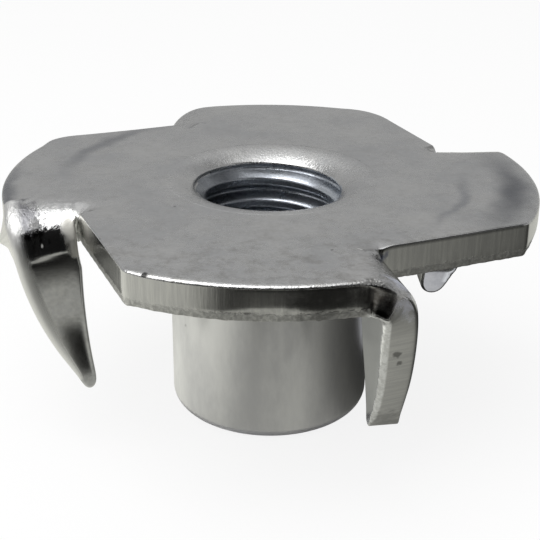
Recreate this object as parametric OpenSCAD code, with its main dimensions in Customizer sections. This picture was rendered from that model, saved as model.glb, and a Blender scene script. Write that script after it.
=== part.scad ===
// Four-prong tee nut for an M5 bolt: one piece of steel sheet, drawn into a
// barrel, tapped, and lanced into prongs that are bent down from the flange.
// Millimetres. The nut stands on its barrel's end at z = 0, on the Z axis.

/* [Flange] */
// Diameter of the round blank that the lobes keep
flange_d = 17.0; // [16:0.1:20]
// Thickness of the sheet, in the flange and in the prongs
sheet_t = 1.05; // [0.8:0.05:1.3]
// Radius that punching leaves along the rim's upper edge
rim_round = 0.25; // [0.1:0.05:0.4]

/* [Barrel] */
// Outside diameter of the drawn barrel
barrel_d = 6.6; // [6.2:0.1:7.4]
// Height from the barrel's end to the flange's top face
height = 7.9; // [7.3:0.1:12]
// Radius round the barrel's end
end_round = 0.5; // [0.2:0.05:0.7]
// Radius in the corner between the barrel and the flange's underside
neck_round = 0.4; // [0.2:0.05:0.8]

/* [Tapped bore] */
// Minor diameter of the M5 thread, which is the bore's wall
bore_d = 4.2; // [4:0.05:4.5]
// Diameter at which the rounded entry starts on the top face
entry_d = 6.5; // [6:0.1:7]
// Radius of the rounded entry
entry_round = 1.6; // [1.5:0.05:2]
// Chamfer at the bore's lower mouth
exit_chamfer = 0.35; // [0.1:0.05:0.5]

/* [Prongs] */
// How many prongs are lanced from the flange
prong_count = 4; // [3:1:4]
// Depth of a prong's tip below the top face
prong_depth = 5.85; // [4:0.05:6.2]
// Distance from the nut's axis to the line where a prong's bend starts
root_offset = 1.5; // [1:0.05:2]
// Distance from the nut's middle plane out to a prong's inner edge
root_reach = 6.15; // [5.6:0.05:6.8]
// Inside radius of the bend
bend_round = 0.3; // [0.2:0.02:0.6]
// Angle that a prong is bent through
bend_angle = 86.5; // [80:0.5:90]
// How far below the bend a prong's inner edge stays straight
edge_straight = 1.0; // [0.5:0.1:1.5]
// Radius of that edge from there on, where it curls a little towards the barrel
inner_edge_r = 21; // [15:1:60]
// Radius of the prong's tip
tip_round = 0.3; // [0.2:0.01:0.4]

/* [Lancing cut] */
// Length of the lance along the prong's side before it turns out to the rim
lance_l = 0.8; // [0.5:0.05:1.3]
// Angle of the lobe's cut edge to that lance
cut_angle = 15; // [8:0.5:20]

/* [Hidden] */
$fn = 96;
steel = "silver";
flange_r = flange_d / 2;
barrel_r = barrel_d / 2;
bore_r = bore_d / 2;
past = 1; // how far a cutter runs past what it cuts
far = 2 * flange_r;
bend_outer = bend_round + sheet_t;
bend_axis_z = height - bend_outer;
// A prong's edges stand this far in from the cuts at its root, so no two faces coincide
seam = 0.03;
rim_at_root = sqrt(flange_r * flange_r - root_offset * root_offset) - seam;
inner_edge = root_reach + seam;
// The prong's outer edge is the blank's rim, still an arc of the blank's radius
edge_centre = rim_at_root - flange_r;
// Length of the straight part that brings the tip down to its depth
leg_l = (prong_depth - bend_outer + bend_round * cos(bend_angle)) / sin(bend_angle);

// The corner of a profile, at the origin, that a round of radius r takes away
module corner_waste(r) {
    difference() {
        translate([-r, -r]) square(r + past);
        translate([-r, -r]) circle(r);
    }
}

// What a fillet of radius r adds in an inside corner at the origin
module corner_fill(r) {
    difference() {
        translate([-past, -past]) square(r + past);
        translate([r, r]) circle(r);
    }
}

// What the rounded entry takes away above the bore
module entry_waste() {
    difference() {
        translate([-past, height - entry_round]) square([past + entry_d / 2, entry_round + past]);
        translate([entry_d / 2, height - entry_round]) circle(entry_round);
    }
}

// Half section of the nut without its prongs
module turned_section() {
    difference() {
        union() {
            translate([0, height - sheet_t]) square([flange_r, sheet_t]);
            square([barrel_r, height - sheet_t / 2]);
            translate([barrel_r, height - sheet_t]) mirror([0, 1]) corner_fill(neck_round);
        }
        translate([flange_r, height]) corner_waste(rim_round);
        translate([barrel_r, 0]) mirror([0, 1]) corner_waste(end_round);
        translate([-past, -past]) square([bore_r + past, height + 2 * past]);
        translate([bore_r - past, -past])
            polygon([[0, 0], [2 * past + exit_chamfer, 0], [0, 2 * past + exit_chamfer]]);
        entry_waste();
    }
}

// One gap in the flange: from a prong's root to the next lobe's cut edge
module lanced_gap() {
    corner = [root_offset + lance_l, -root_reach];
    translate([0, 0, height - sheet_t - past])
        linear_extrude(sheet_t + 2 * past)
            polygon([
                [root_offset, -far],
                [root_offset, -root_reach],
                corner,
                corner + far * [cos(cut_angle), sin(cut_angle)],
                [far, -far]
            ]);
}

// What the blank's rim, the root and the tip leave of a prong's broad face:
// x runs down the prong from the level where its bend ends, y runs inwards
module leg_face() {
    tip_centre = leg_l - tip_round;
    curl_l = tip_centre - edge_straight;
    inner = inner_edge_r - inner_edge - sqrt(inner_edge_r * inner_edge_r - curl_l * curl_l);
    outer = -edge_centre - sqrt(flange_r * flange_r - pow(bend_outer + tip_centre, 2));
    difference() {
        translate([0, -far]) square([leg_l, far]);
        translate([-past, -inner_edge]) square([past + edge_straight, far]);
        translate([edge_straight, inner_edge_r - inner_edge]) circle(inner_edge_r);
        difference() {
            translate([tip_centre, -far]) square([far, 2 * far]);
            translate([tip_centre, (inner + outer) / 2]) circle(tip_round);
        }
    }
}

// The straight part of a prong, laid flat: a piece of the round blank
module prong_leg() {
    intersection() {
        translate([-bend_outer, -edge_centre, 0])
            rotate_extrude()
                difference() {
                    square([flange_r, sheet_t]);
                    translate([flange_r, sheet_t]) corner_waste(rim_round);
                }
        translate([0, 0, -past]) linear_extrude(sheet_t + 2 * past) leg_face();
    }
}

// The bend: the sheet's section turned about an axis along the root
module prong_bend() {
    difference() {
        intersection() {
            rotate([90, 0, 0])
                rotate([0, 0, 90 - bend_angle])
                    rotate_extrude(angle = bend_angle)
                        translate([bend_round, inner_edge]) square([sheet_t, far]);
            translate([-past, 0, bend_outer])
                rotate([90, 0, 90])
                    linear_extrude(far)
                        mirror([1, 0]) translate([edge_centre, 0]) circle(flange_r);
        }
        rotate([90, 0, 0])
            rotate_extrude(angle = 90)
                translate([bend_outer, rim_at_root]) corner_waste(rim_round);
    }
}

module prong() {
    translate([root_offset, 0, bend_axis_z]) {
        prong_bend();
        rotate([0, bend_angle, 0]) translate([0, 0, bend_round]) prong_leg();
    }
}

module tee_nut() {
    color(steel) {
        difference() {
            rotate_extrude() turned_section();
            for (i = [0 : prong_count - 1]) rotate(i * 360 / prong_count) lanced_gap();
        }
        for (i = [0 : prong_count - 1]) rotate(i * 360 / prong_count) prong();
    }
}

tee_nut();
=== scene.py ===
# %% [markdown]
# # A tee nut, made the way a press makes one
#
# A tee nut is a single piece of steel sheet. A press draws the middle down into a
# barrel, cuts a round blank, lances four prongs free from its rim and folds them down.
# The barrel is tapped and the whole nut is zinc plated. This lesson takes much the same
# steps: it draws the flat blank with its sheared edges, turns the barrel with its thread,
# joins the two, folds the prongs, and then plates the nut with procedural materials.
#
# The nut could be put together from a disc, a tube and four spikes. But a pressed part
# looks right only when its sheet runs on without a break from one shape into the next, so
# the lesson makes one mesh and lets the steps of the real press shape it.

# %% Load the fixed frame
import math

import bmesh
import bpy
import numpy as np
from mathutils import Matrix, Vector, noise
from mathutils.geometry import delaunay_2d_cdt


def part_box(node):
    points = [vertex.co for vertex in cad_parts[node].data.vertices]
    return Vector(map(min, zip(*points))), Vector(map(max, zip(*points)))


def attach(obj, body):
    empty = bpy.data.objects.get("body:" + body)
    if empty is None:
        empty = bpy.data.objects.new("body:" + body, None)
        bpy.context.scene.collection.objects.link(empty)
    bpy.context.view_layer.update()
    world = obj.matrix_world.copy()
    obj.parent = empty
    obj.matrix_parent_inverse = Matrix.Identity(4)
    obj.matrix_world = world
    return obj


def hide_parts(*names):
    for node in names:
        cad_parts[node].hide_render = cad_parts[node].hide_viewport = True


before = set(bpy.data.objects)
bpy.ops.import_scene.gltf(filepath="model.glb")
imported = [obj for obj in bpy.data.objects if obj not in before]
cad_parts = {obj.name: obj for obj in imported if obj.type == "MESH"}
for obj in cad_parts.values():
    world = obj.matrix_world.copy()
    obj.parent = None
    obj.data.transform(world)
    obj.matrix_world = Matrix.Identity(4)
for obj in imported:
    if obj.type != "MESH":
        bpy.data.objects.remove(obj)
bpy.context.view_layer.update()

MM = 0.001
node_low, node_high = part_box("tee_nut")
print("frame: the nut's box in mm is", [round(v / MM, 2) for v in node_high - node_low])

# %% [markdown]
# ## Sizes
#
# The blank's diameter and the nut's height come from the frame. The other sizes are the
# nut's own: the sheet, the barrel, the bore of an M5 thread, and where each prong starts.
# All of them are in millimetres, and the finished mesh is scaled to metres once, at the end.

# %% Sizes of the sheet, the barrel and the bore
# The top face is at the full height, and the flange's underside, its seat, a sheet below it
flange_r = round((node_high.x - node_low.x) / 2 / MM, 2)
height = (node_high.z - node_low.z) / MM
sheet_t = 1.05
seat_z = height - sheet_t
barrel_r = 3.3
end_round = 0.5
neck_round = 0.4
minor_r = 2.1
major_r = 2.5
pitch = 0.8
entry_r = 3.38
entry_round = 1.6
exit_chamfer = 0.35
print("flange radius", round(flange_r, 3), "height", round(height, 3), "seat at", round(seat_z, 3))

# %% Sizes of the prongs and the cuts beside them
# A prong's bend starts at root_offset from the nut's axis, and its inner edge is root_reach out
root_offset = 1.5
root_reach = 6.15
# The lance that frees that edge starts at lance_start from the root, and leaves a slit
slit = 0.09
lance_start = 0.66
# The lobe's edge runs along the slit up to lance_l, and then turns off by the cut's angle
lance_l = 0.8
cut_angle = math.radians(15)
# The inside radius of the bend
bend_round = 0.3
# Each prong has its own small faults. Lengths are in millimetres and angles in degrees:
# "angle"     how far the prong is bent
# "leg"       its length from bend to tip, and "tip" that of its rounded end
# "outer_r"   the radius of its outer edge, and "outer_in" how far that edge is drawn in
# "wider"     how far its inner edge stands towards the barrel, starting "from" bend lengths
# "slant"     how much longer the tip is on one side of the sheet
# "twist"     how far the leg is turned about the vertical
# "ease"      how much rounder the bend is at the rim
# "swell"     how far the metal that the bend squeezes stands out at the rim
# "bevel"     the depth of a bevel on the inner edge
# "drag"      how much of the bend the lobe beside it follows
# "web"       how far metal fills the corner between the bend and that lobe
prongs = [
    {"angle": 85.2, "leg": 4.56, "tip": 0.24, "outer_r": 8.8, "outer_in": 0.00, "wider": 0.00, "from": 1.0,
     "slant": 0.16, "twist": 8.0, "ease": 0.04, "swell": 0.32, "bevel": 0.00, "drag": 0.15, "web": 0.00},
    {"angle": 86.5, "leg": 4.27, "tip": 0.42, "outer_r": 9.1, "outer_in": 0.00, "wider": 0.26, "from": 1.0,
     "slant": 0.00, "twist": -4.0, "ease": 0.05, "swell": 0.20, "bevel": 0.05, "drag": 1.00, "web": 0.14},
    {"angle": 86.5, "leg": 4.52, "tip": 0.22, "outer_r": 8.7, "outer_in": 0.10, "wider": 0.03, "from": 1.0,
     "slant": 0.00, "twist": 6.0, "ease": 0.05, "swell": 0.20, "bevel": 0.05, "drag": 0.80, "web": 0.00},
    {"angle": 86.5, "leg": 4.54, "tip": 0.32, "outer_r": 9.3, "outer_in": 0.13, "wider": 0.10, "from": 0.6,
     "slant": 0.00, "twist": 7.0, "ease": 0.16, "swell": 0.38, "bevel": 0.00, "drag": 0.70, "web": 0.00},
]
# Below the bend the inner edge is straight for a while, and then it curls inwards. Where a
# prong is "wider", it gets there over a share of its bend
edge_straight = 1.0
curl_r = 21.0
widening_run = 0.8
neutral_r = bend_round + sheet_t / 2
bend_axis_z = seat_z - bend_round
print("prongs:", len(prongs), "neutral bend radius", neutral_r)

# %% [markdown]
# ## The blank's outline
#
# The outline is four like quarters. Each goes round the rim of a lobe, out along a
# prong's outer edge, round its tip, back along its inner edge to the lance cut, and then
# out along the next lobe's cut edge. A lobe is drawn as it lies, and a prong as it lies
# before it is folded.
#
# A curve object, or a disc with cuts taken out of it, could give the same outline. A list
# of points is used instead, because every point can then remember which kind of edge it
# belongs to: a rim, a sheared edge and a tip are rounded by different amounts.

# %% Kinds of edge, and how they are rounded at the lobes' corners
RIM, OUTER, TIP, INNER, SLIT, CUT, CORNER = range(7)
step = 0.09
# How much each quarter's cut corner is rounded, starting with the one at the right
corner_soft = [0.12, 1.05, 0.70, 0.16]
sharp_corner = 0.3
# The rounded edges take up a band of this width along the outline, less at a sharp corner
edge_band = 0.45
corner_band = 0.09


def spaced(start, end, spacing=step):
    """Evenly spaced numbers from start up to, and without, end"""
    count = max(2, int(math.ceil(abs(end - start) / spacing)))
    return np.linspace(start, end, count, endpoint=False)


print("outline: a point every", step, "mm")

# %% One prong, as it lies before it is folded
def bend_length(prong):
    """Length of the sheet's middle layer that a prong's bend takes up"""
    return neutral_r * math.radians(prong["angle"])


def outer_edge(prong, s):
    """How far out the prong's outer edge lies, at a length s along the prong"""
    bend_l = bend_length(prong)
    drop = np.where(s < bend_l, s * (bend_round + sheet_t) / bend_l, s - bend_l + bend_round + sheet_t)
    root_y = math.sqrt(flange_r ** 2 - root_offset ** 2)
    eased = prong["outer_in"] * np.clip(s / bend_l, 0, 1) ** 2
    return root_y - prong["outer_r"] + np.sqrt(prong["outer_r"] ** 2 - drop ** 2) - eased


def inner_edge(prong, s):
    """How far out the prong's inner edge lies, at a length s along the prong"""
    bend_l = bend_length(prong)
    curl = np.clip(s - bend_l - edge_straight, 0, None) ** 2 / (2 * curl_r)
    eased = prong["wider"] * np.clip((s / bend_l - prong["from"]) / widening_run, 0, 1) ** 2
    return root_reach + slit - curl - eased


def rounded_tip(rows, reach=9, passes=10):
    """A prong's rows with the points about its tip averaged, so that its edges run on into it"""
    kinds = np.array([r[2] for r in rows])
    xy = np.array([r[:2] for r in rows])
    near = np.flatnonzero(kinds == TIP)
    near = np.arange(near[0] - reach, near[-1] + reach)
    for _ in range(passes):
        xy[near] = (xy[near - 1] + 2 * xy[near] + xy[near + 1]) / 4
    return [(x, y, kind, room) for (x, y), (_, _, kind, room) in zip(xy.tolist(), rows)]


def prong_run(prong):
    """The flat outline of one prong, as (x, y, kind, room) rows: outer edge, tip, inner edge"""
    bend_l = bend_length(prong)
    shoulder = bend_l + prong["leg"] - prong["tip"]

    def room(s):
        """Width that the rounded edge may take up, as a share of the prong's width"""
        return 0.3 * float(outer_edge(prong, s) - inner_edge(prong, s))

    rows = [(root_offset + s, -float(outer_edge(prong, s)), OUTER, room(s)) for s in spaced(0, shoulder)]
    middle = float(outer_edge(prong, shoulder) + inner_edge(prong, shoulder)) / 2
    half = float(outer_edge(prong, shoulder) - inner_edge(prong, shoulder)) / 2
    for turn in np.linspace(-90, 90, 13):
        along = shoulder + prong["tip"] * math.cos(math.radians(turn))
        across = -middle + half * math.sin(math.radians(turn))
        rows.append((root_offset + along, across, TIP, 0.7 * room(shoulder)))
    back_s = spaced(shoulder, lance_start)[1:]
    rows += [(root_offset + s, -float(inner_edge(prong, s)), INNER, room(s)) for s in back_s]
    return rounded_tip(rows)


print("prong: its flat outline has", len(prong_run(prongs[0])), "points")

# %% One quarter of the blank
def quarter(prong, soft_before, soft_after):
    """One quarter of the blank's outline, from one lobe's corner to the next lobe's"""
    reach_x, reach_y = root_offset + lance_l, -root_reach
    dx, dy = math.cos(cut_angle), math.sin(cut_angle)
    along = -(reach_x * dx + reach_y * dy)
    length = along + math.sqrt(along ** 2 + flange_r ** 2 - root_reach ** 2 - reach_x ** 2)
    corner = (reach_x + length * dx, reach_y + length * dy)
    first = math.atan2(-corner[0], corner[1])
    last = -math.acos(root_offset / flange_r)
    soft = soft_before / flange_r
    angles = spaced(first + soft - (2 * math.pi if first > 0 else 0), last, step / flange_r)
    rows = [(flange_r * math.cos(a), flange_r * math.sin(a), RIM, edge_band) for a in angles]
    rows += prong_run(prong)
    gap_r = slit / 2
    for turn in np.linspace(270, 90, 7)[:-1]:
        turn = math.radians(turn)
        x = root_offset + lance_start + gap_r * math.cos(turn)
        rows.append((x, reach_y - gap_r + gap_r * math.sin(turn), SLIT, edge_band))
    rows += [(x, reach_y, CUT, edge_band) for x in spaced(root_offset + lance_start, reach_x)]
    rows += [(reach_x + d * dx, reach_y + d * dy, CUT, edge_band) for d in spaced(0, length - soft_after)]
    before = np.array([corner[0] - soft_after * dx, corner[1] - soft_after * dy])
    turn = math.atan2(corner[1], corner[0]) + soft_after / flange_r
    after = np.array([flange_r * math.cos(turn), flange_r * math.sin(turn)])
    for t in spaced(0, 1, 0.2 if soft_after < sharp_corner else 0.06):
        point = (1 - t) ** 2 * before + 2 * t * (1 - t) * np.array(corner) + t ** 2 * after
        rows.append((point[0], point[1], CORNER, edge_band if soft_after > sharp_corner else corner_band))
    return rows


print("quarter:", len(quarter(prongs[0], corner_soft[-1], corner_soft[0])), "points")

# %% Four quarters make the outline
def turned(x, y, quarters):
    """A point turned by a number of quarter turns about the nut's axis"""
    for _ in range(quarters % 4):
        x, y = -y, x
    return x, y


loop_xy = []
loop_kind = []
loop_room = []
loop_quarter = []
for index, prong in enumerate(prongs):
    for x, y, kind, room in quarter(prong, corner_soft[index - 1], corner_soft[index]):
        loop_xy.append(turned(x, y, index))
        loop_kind.append(kind)
        loop_room.append(room)
        loop_quarter.append(index)
loop_xy = np.array(loop_xy)
loop_kind = np.array(loop_kind)
loop_quarter = np.array(loop_quarter)
print("outline:", len(loop_xy), "points")

# %% [markdown]
# ## Sheared edges
#
# A press leaves its mark on every edge that it cuts: the upper edge rolls over, the
# middle of the wall is burnished smooth, and the last third tears. Each outline point
# therefore carries a small profile down the sheet. The roll-over is a quarter of an
# ellipse, wide on the rim and narrow on the cut edges, and it gets smaller at corners and
# tips so that the profile never crosses itself.
#
# A Bevel modifier would be quicker, but it gives every edge the same even rounding. With
# rows of its own, each edge can roll over, tear and hang down in a burr by its own amount.

# %% Width of the rolled edge at each outline point
roll_width = {RIM: 0.17, OUTER: 0.24, TIP: 0.14, INNER: 0.12, SLIT: 0.06, CUT: 0.08, CORNER: 0.06}
roll_drop = {RIM: 0.12, OUTER: 0.20, TIP: 0.14, INNER: 0.10, SLIT: 0.05, CUT: 0.06, CORNER: 0.045}
count = len(loop_xy)
ahead = np.roll(loop_xy, -1, axis=0) - loop_xy
seg_length = np.linalg.norm(ahead, axis=1)
seg_normal = np.stack([ahead[:, 1], -ahead[:, 0]], axis=1) / seg_length[:, None]
outward = seg_normal + np.roll(seg_normal, 1, axis=0)
outward /= np.linalg.norm(outward, axis=1)[:, None]
travelled = np.concatenate([[0], np.cumsum(seg_length)])
total_length = travelled[-1]
travelled = travelled[:-1]


def smoothed(values, passes):
    """Values averaged with their neighbours round the closed outline"""
    for _ in range(passes):
        values = (np.roll(values, 1) + 2 * values + np.roll(values, -1)) / 4
    return values


band = np.minimum(edge_band, np.array(loop_room))
band_growth = 0.4
corner_points = np.flatnonzero((loop_kind == CORNER) & (band < 1.1 * corner_band))
for i in corner_points:
    away = np.abs(travelled - travelled[i])
    away = np.minimum(away, total_length - away)
    band = np.minimum(band, corner_band + band_growth * away)
band = smoothed(band, 3)
# Where the inner side of the band all but turns back on itself, the band is made narrower
least_step = 0.3
while True:
    inner_loop = loop_xy - outward * band[:, None]
    inner_ahead = np.roll(inner_loop, -1, axis=0) - inner_loop
    crossed = (inner_ahead * ahead).sum(axis=1) < least_step * seg_length ** 2
    if not crossed.any():
        break
    tight = crossed | np.roll(crossed, 1)
    band[tight] *= 0.9
# How much wider the roll-over of each lobe's rim is, starting with the front one
lobe_roll = np.array([0.85, 2.2, 1.2, 1.8])
roll_passes = 14
of_rim = np.where(loop_kind == RIM, lobe_roll[loop_quarter], 1.0)
width = smoothed(np.array([roll_width[k] for k in loop_kind]) * of_rim, roll_passes)
drop = smoothed(np.array([roll_drop[k] for k in loop_kind]) * np.sqrt(of_rim), roll_passes)
width = np.minimum(width, 0.8 * band)
drop = np.minimum(drop, width)
print("edges: narrowest band", round(band.min(), 3), "mm, beside", len(corner_points), "corner points")

# %% Where the wall tears, and how far the burr hangs below it
def roughness_at(scale, shift):
    """A smooth random number from -1 to 1 for every outline point"""
    return np.array([noise.noise(Vector((x * scale, y * scale, shift))) for x, y in loop_xy])


tear_line = 0.64 + 0.10 * roughness_at(0.9, 3.0) + 0.05 * roughness_at(5.0, 7.0)
tear_in = {RIM: 0.07, OUTER: 0.0, TIP: 0.0, INNER: 0.0, SLIT: 0.0, CUT: 0.03, CORNER: 0.03}
tear_depth = smoothed(np.array([tear_in[k] for k in loop_kind]), 8)
burr_hang = np.clip(0.01 + 0.02 * roughness_at(4.0, 1.0) + 0.015 * roughness_at(9.0, 5.0), 0, None)
burr_hang = burr_hang * smoothed(np.isin(loop_kind, (RIM, CUT, CORNER)).astype(float), 4)
# The lance that freed the left prong dragged some metal down with it
left_lance = (loop_kind == SLIT) & (loop_quarter == 3)
burr_hang = burr_hang + 0.3 * smoothed(left_lance.astype(float), 8)
print("tears start", round(tear_line.min(), 2), "to", round(tear_line.max(), 2), "of the way down")

# %% The profile of the edge: rows of (inset, height) for every outline point
# The foot is the rounded lower edge: how far in it reaches and how far up, by kind of edge
foot_in = {RIM: 0.05, OUTER: 0.20, TIP: 0.10, INNER: 0.10, SLIT: 0.04, CUT: 0.05, CORNER: 0.05}
foot_up = {RIM: 0.05, OUTER: 0.12, TIP: 0.08, INNER: 0.08, SLIT: 0.04, CUT: 0.05, CORNER: 0.05}
foot_passes = 8
foot_width = np.minimum(smoothed(np.array([foot_in[k] for k in loop_kind]), foot_passes), 0.5 * band)
ragged = np.clip(1.0 + 0.9 * roughness_at(5.0, 21.0) + 0.6 * roughness_at(11.0, 23.0), 0.4, 1.5)
foot_width = np.where(loop_kind == OUTER, foot_width * ragged, foot_width)
foot_height = np.minimum(smoothed(np.array([foot_up[k] for k in loop_kind]), foot_passes), foot_width)
roll_steps = 7
wall_steps = 11
rows = [(band, np.full(count, height))]
for turn in np.linspace(0, 90, roll_steps + 1):
    turn = math.radians(turn)
    rows.append((width * (1 - math.sin(turn)), height - drop * (1 - math.cos(turn))))
wall_top = height - drop
wall_low = seat_z + foot_height
for share in np.linspace(0, 1, wall_steps + 1)[1:]:
    z = wall_top * (1 - share) + wall_low * share
    torn = np.clip((share - tear_line) / (1 - tear_line), 0, 1)
    grit = roughness_at(7.0, 11.0 + 6 * share) * 0.010 * (torn > 0) * (tear_depth > 0.01)
    rows.append((torn ** 1.4 * tear_depth + np.abs(grit), z - burr_hang * share ** 4))
for turn in (30, 60, 90):
    turn = math.radians(turn)
    inset = tear_depth + foot_width * (1 - math.cos(turn))
    rows.append((inset, wall_low - burr_hang - foot_height * math.sin(turn)))
foot_end = tear_depth + foot_width
rows.append((foot_end + 0.3 * (band - foot_end), seat_z - 0.4 * burr_hang))
rows.append((band, np.full(count, seat_z)))
ring_inset = np.array([r[0] for r in rows])
ring_inset = np.minimum(ring_inset, band)
ring_z = np.array([r[1] for r in rows])
ring_count = len(rows)
print("profile:", ring_count, "rows")

# %% [markdown]
# ## Flat faces
#
# The broad faces of the blank are one flat triangle mesh. It runs from the inner row of
# the edge profile to a circle round the barrel, and it is filled with evenly spread
# points, closer together on the prongs, so that the sheet can bend there. The same mesh
# serves the upper and the lower face.
#
# Blender can fill an outline with one large face or with long thin triangles, but either
# would crease when the sheet bends. A Delaunay mesh over evenly spread points joins each
# point to its nearest neighbours, and such a mesh bends smoothly.

# %% Helpers that spread points and pick them
hub_r = 3.9
hub_steps = 192
coarse = 0.2
fine = 0.1
# The line between a prong and the next lobe leans away from the prong by this slope
border_slope = 0.18


def spread(spacing):
    """Points of a triangular grid over the whole blank"""
    rows_y = np.arange(-flange_r, flange_r, spacing * math.sqrt(3) / 2)
    out = []
    for j, y in enumerate(rows_y):
        xs = np.arange(-flange_r + (j % 2) * spacing / 2, flange_r, spacing)
        out.append(np.stack([xs, np.full(len(xs), y)], axis=1))
    return np.concatenate(out)


def inside(points, polygon):
    """Which points lie inside a closed polygon, by counting the edges to their right"""
    result = np.zeros(len(points), bool)
    x, y = points[:, 0], points[:, 1]
    for (x1, y1), (x2, y2) in zip(polygon, np.roll(polygon, -1, axis=0)):
        if y1 == y2:
            continue
        crossed = (y1 > y) != (y2 > y)
        result ^= crossed & (x < (x2 - x1) * (y - y1) / (y2 - y1) + x1)
    return result


def clear_of(points, others, distance):
    """Which points lie further than a distance from every one of the others"""
    kept = np.ones(len(points), bool)
    for start in range(0, len(points), 2000):
        block = points[start:start + 2000]
        gaps = np.linalg.norm(block[:, None] - others[None], axis=2).min(axis=1)
        kept[start:start + 2000] = gaps > distance
    return kept


def prong_share(x, y):
    """Which points of the flat blank belong to which prong: its number, or -1 for none"""
    owner = np.full(len(x), -1)
    for index in range(len(prongs)):
        local_x, local_y = turned(x, y, 4 - index)
        past_lance = np.clip(local_x - root_offset - lance_l, 0, None)
        border = -(root_reach + slit / 2) + border_slope * past_lance
        owner[(local_x > root_offset) & (local_y < border)] = index
    return owner


print("spacing of the points:", coarse, "mm on the lobes and", fine, "mm on the prongs")

# %% Spread points over the blank
hub_gap = 0.6
edge_gap = 0.55
hub_angles = np.arange(hub_steps) * 2 * math.pi / hub_steps
hub_loop = hub_r * np.stack([np.cos(hub_angles), np.sin(hub_angles)], axis=1)
grid = spread(coarse)
dense = spread(fine)
grid = grid[prong_share(grid[:, 0], grid[:, 1]) < 0]
dense = dense[prong_share(dense[:, 0], dense[:, 1]) >= 0]
grid = grid[np.linalg.norm(grid, axis=1) > hub_r + hub_gap * coarse]
grid = grid[inside(grid, inner_loop)]
dense = dense[inside(dense, inner_loop)]
grid = grid[clear_of(grid, inner_loop, edge_gap * coarse)]
dense = dense[clear_of(dense, inner_loop, edge_gap * fine)]
flat = np.concatenate([inner_loop, hub_loop, grid, dense])
print("spread:", len(grid), "points on the lobes and", len(dense), "on the prongs")

# %% Join the points with triangles
edges = [(i, (i + 1) % count) for i in range(count)]
edges += [(count + i, count + (i + 1) % hub_steps) for i in range(hub_steps)]
joined = delaunay_2d_cdt([Vector(p) for p in flat.tolist()], edges, [], 0, 1e-7)
faces = np.array([f for f in joined[2] if len(f) == 3])
joined_xy = np.array([(v.x, v.y) for v in joined[0]])
print("flat mesh:", len(flat), "points in,", len(joined_xy), "out,", len(faces), "triangles")
middle = joined_xy[faces].mean(axis=1)
keep = inside(middle, inner_loop) & ~inside(middle, hub_loop)
# Each point of the result knows which point of the list it came from
source = np.array([ids[0] for ids in joined[3]])
flat_faces = source[faces[keep]]
side = flat[flat_faces[:, 1]] - flat[flat_faces[:, 0]]
other = flat[flat_faces[:, 2]] - flat[flat_faces[:, 0]]
clockwise = side[:, 0] * other[:, 1] - side[:, 1] * other[:, 0] < 0
flat_faces[clockwise] = flat_faces[clockwise][:, ::-1]
print("flat mesh:", len(flat_faces), "triangles kept")

# %% [markdown]
# ## The barrel and its thread
#
# The barrel is turned as rings of points about the axis. Outside it is a plain cylinder
# with a rounded end. Inside it carries the thread: a groove that climbs one pitch with
# each turn.
#
# A Screw modifier could sweep the thread's profile, but its two ends would hang loose. Here
# the rings inside climb with the groove instead, so the thread's crests and roots follow
# rows of points and stay crisp, and the rows are cut off level at both ends, where the
# barrel's own rings take over.

# %% Rings of the bore, from the top face down
thread_row = 0.05
thread_start = 0.62


def smooth(share):
    """A share from 0 to 1 that starts and ends gently"""
    return share * share * (3 - 2 * share)


def rounded_entry(z):
    """Radius of the bore's rounded entry at a height"""
    up = np.clip(z - (height - entry_round), 0, entry_round)
    across = np.sqrt(np.clip(entry_round ** 2 - up ** 2, 0, None))
    return entry_r - across


def thread_wall(phase):
    """Radius of the M5 thread at a share of its pitch: crest, flank, root, flank"""
    crest, flank, root = 0.25, 0.3125, 0.125
    phase = np.mod(phase, 1)
    rise = np.clip((phase - crest) / flank, 0, 1)
    fall = np.clip((phase - crest - flank - root) / flank, 0, 1)
    shape = rise - fall
    shape = smooth(shape) * 0.5 + shape * 0.5
    return minor_r + (major_r - minor_r) * shape


# The climbing rows are cut off level at these two heights
top_z = height - 0.12
low_z = exit_chamfer * 0.4
angles = hub_angles
climb = pitch * angles / (2 * math.pi)
row_low = math.floor((low_z - pitch) / thread_row) - 1
row_high = math.ceil(top_z / thread_row) + 1
bore_rows = []
for j in range(row_low, row_high + 1):
    z = np.clip(j * thread_row + climb, low_z, top_z)
    wall = np.maximum(thread_wall(z / pitch - angles / (2 * math.pi) + thread_start), rounded_entry(z))
    wall = np.maximum(wall, minor_r + exit_chamfer - z)
    bore_rows.append(np.stack([wall * np.cos(angles), wall * np.sin(angles), z], axis=1))
bore_rows = bore_rows[::-1]
print("bore:", len(bore_rows), "climbing rows of", hub_steps)

# %% Rings outside: the entry's lip, the end face, the barrel and its neck
def level_ring(radius, z):
    """A level ring of points about the axis"""
    return np.stack([radius * np.cos(angles), radius * np.sin(angles), np.full(hub_steps, z)], axis=1)


lip_rows = []
for radius in np.linspace(hub_r, entry_r + 0.05, 6):
    lip_rows.append(level_ring(radius, height))
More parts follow.
